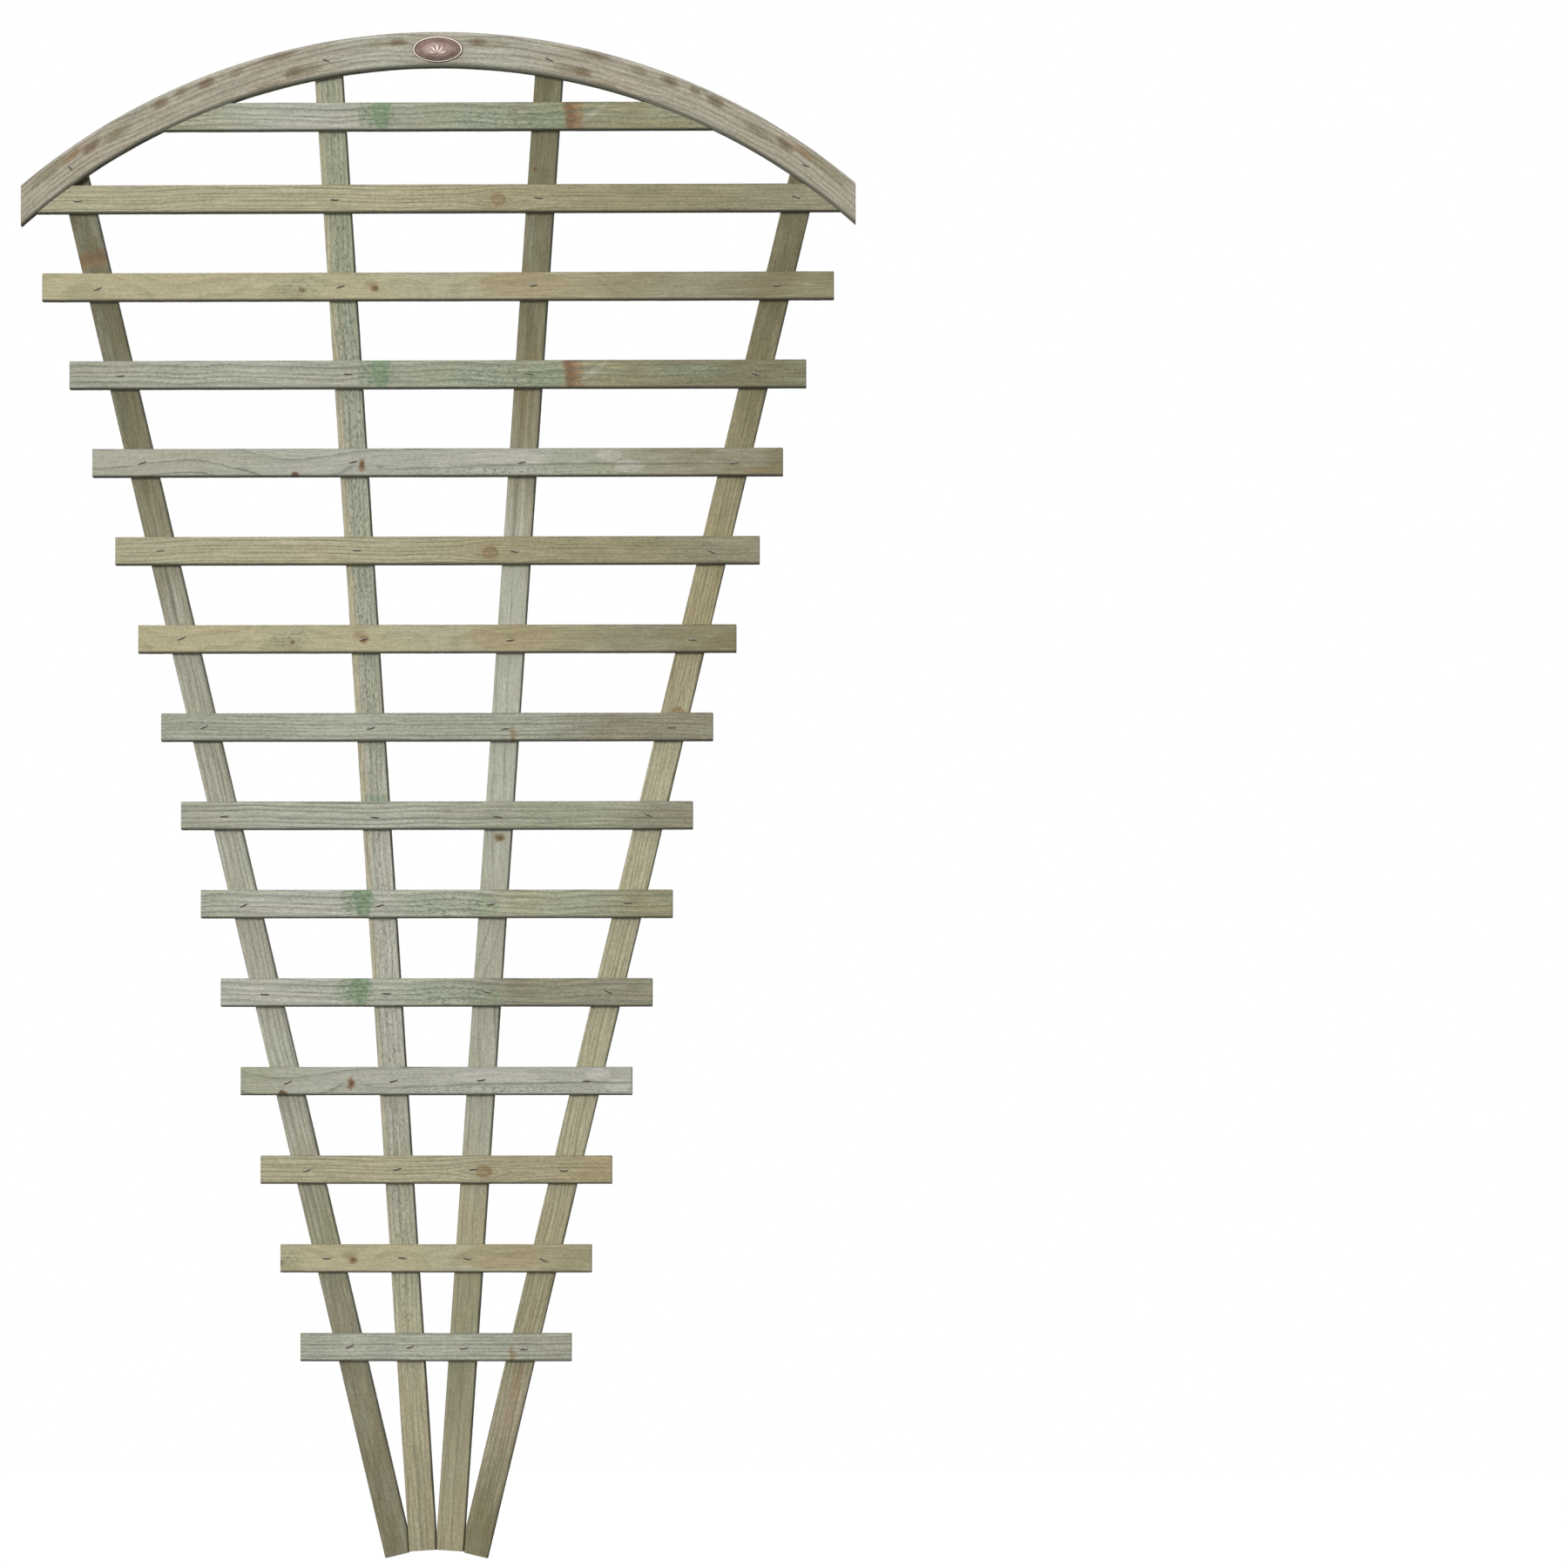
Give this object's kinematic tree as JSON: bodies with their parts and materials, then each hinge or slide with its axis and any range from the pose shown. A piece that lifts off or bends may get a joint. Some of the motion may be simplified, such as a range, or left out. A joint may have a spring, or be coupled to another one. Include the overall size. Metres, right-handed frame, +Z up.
{
  "type": "fan trellis",
  "caption": "Flat wooden fan trellis: uprights spread from a narrow foot behind level slats, under an arched top rail with an oval stamped plate.",
  "frame": {"origin": "on the ground, on the fan's middle line, in the plane where the slats and the top rail meet the uprights", "axes": "+Z up, +Y towards the wall behind, so the front with the slats faces -Y, and +X to the right as seen from the front"},
  "size_m": [1.003, 0.0398, 1.83],
  "materials": {
    "slat_wood": "planed, pressure-treated, weathered matt",
    "upright_wood": "planed, pressure-treated, weathered matt",
    "rail_wood": "planed, pressure-treated, weathered matt",
    "staple_steel": "bright galvanised wire",
    "plate_metal": "stamped, bronze-toned, satin"
  },
  "bodies": {
    "root": {"upright_outer_left": "upright_wood", "upright_inner_left": "upright_wood", "upright_inner_right": "upright_wood", "upright_outer_right": "upright_wood", "slat_01": "slat_wood", "slat_02": "slat_wood", "slat_03": "slat_wood", "slat_04": "slat_wood", "slat_05": "slat_wood", "slat_06": "slat_wood", "slat_07": "slat_wood", "slat_08": "slat_wood", "slat_09": "slat_wood", "slat_10": "slat_wood", "slat_11": "slat_wood", "slat_12": "slat_wood", "slat_13": "slat_wood", "slat_14": "slat_wood", "slat_15": "slat_wood", "arch_rail": "rail_wood", "slat_staples": "staple_steel", "arch_staples": "staple_steel", "back_staples": "staple_steel", "badge": "plate_metal"}
  },
  "joints": []
}
